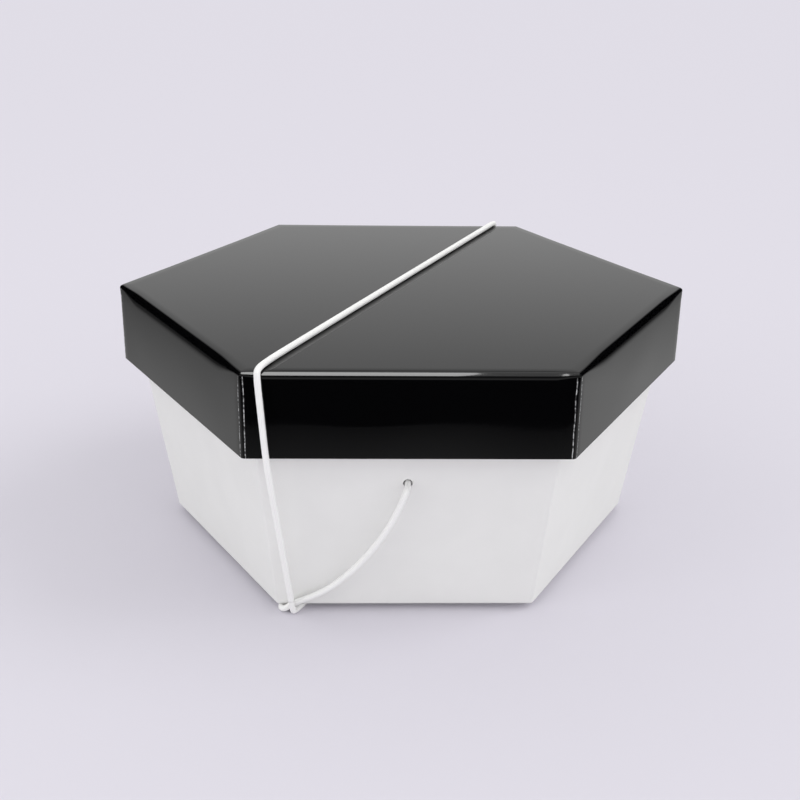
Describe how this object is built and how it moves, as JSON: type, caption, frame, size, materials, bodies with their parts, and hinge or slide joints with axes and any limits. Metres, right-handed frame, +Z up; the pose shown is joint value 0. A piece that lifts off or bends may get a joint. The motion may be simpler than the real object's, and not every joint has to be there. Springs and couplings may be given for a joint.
{
  "type": "hat box",
  "caption": "Hexagonal hat box with a tapered tray base, a lift-off lid with a deep skirt, and an elastic cord wrapped over the lid and under the floor.",
  "frame": {"origin": "on the surface that the box stands on, under the middle of the box", "axes": "+Z up, the front wall with the cord's visible strand facing -Y, and two corners of the hexagon on the X axis"},
  "size_m": [0.399, 0.3558, 0.1818],
  "materials": {
    "black_board": "gloss laminated black board",
    "white_board": "satin coated white board",
    "cord": "braided white elastic cord"
  },
  "bodies": {
    "base": {"base_floor_panel": "white_board", "base_wall_front": "white_board", "base_wall_front_right": "white_board", "base_wall_back_right": "white_board", "base_wall_back": "white_board", "base_wall_back_left": "white_board", "base_wall_front_left": "white_board", "base_tab_front": "white_board", "base_tab_front_right": "white_board", "base_tab_back_right": "white_board", "base_tab_back": "white_board", "base_tab_back_left": "white_board", "base_tab_front_left": "white_board", "cord_front_strand": "cord", "cord_back_strand": "cord", "cord_first_under_run": "cord", "cord_second_under_run": "cord", "cord_front_riser": "cord", "cord_back_riser": "cord", "cord_knot_front": "cord", "cord_knot_back": "cord"},
    "lid": {"lid_top_panel": "black_board", "lid_skirt_front": "black_board", "lid_skirt_front_right": "black_board", "lid_skirt_back_right": "black_board", "lid_skirt_back": "black_board", "lid_skirt_back_left": "black_board", "lid_skirt_front_left": "black_board", "lid_tab_front": "black_board", "lid_tab_front_right": "black_board", "lid_tab_back_right": "black_board", "lid_tab_back": "black_board", "lid_tab_back_left": "black_board", "lid_tab_front_left": "black_board", "cord_over_lid": "cord"}
  },
  "joints": [
    {"name": "lid_lift", "type": "slide", "parent": "base", "child": "lid", "axis": [0, 0, 1], "range_m": [0, 0.08], "stiffness_N_per_m": 90, "springref_m": -0.055, "deforming": ["cord_front_riser", "cord_back_riser"]}
  ]
}
